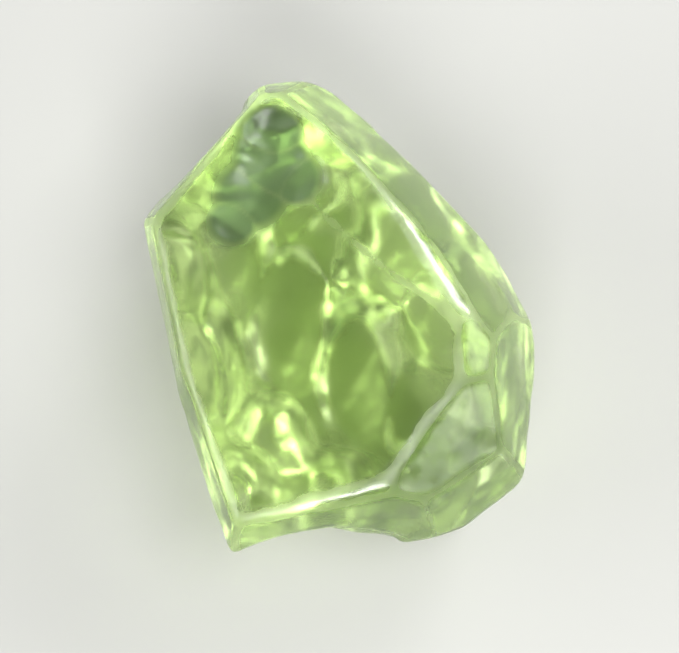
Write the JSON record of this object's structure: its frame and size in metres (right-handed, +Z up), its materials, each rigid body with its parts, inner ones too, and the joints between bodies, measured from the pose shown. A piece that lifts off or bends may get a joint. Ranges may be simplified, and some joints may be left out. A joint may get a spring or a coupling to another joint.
{
  "type": "tumbled peridot crystal chip",
  "caption": "Clear yellow-green peridot crystal fragment with flat broken faces, shell-shaped chips and tumbled edges, lying on a flat face.",
  "frame": {"origin": "middle of the crystal's footprint, on the surface that it lies on", "axes": "+Z up; +Y along the crystal's length, from its blunt bottom end to its narrow top end; +X across it"},
  "size_m": [0.0054, 0.0068, 0.0036],
  "materials": {
    "peridot": "clear, tumble polished, with slightly frosted edges"
  },
  "bodies": {
    "root": {"peridot_crystal": "peridot"}
  },
  "joints": []
}
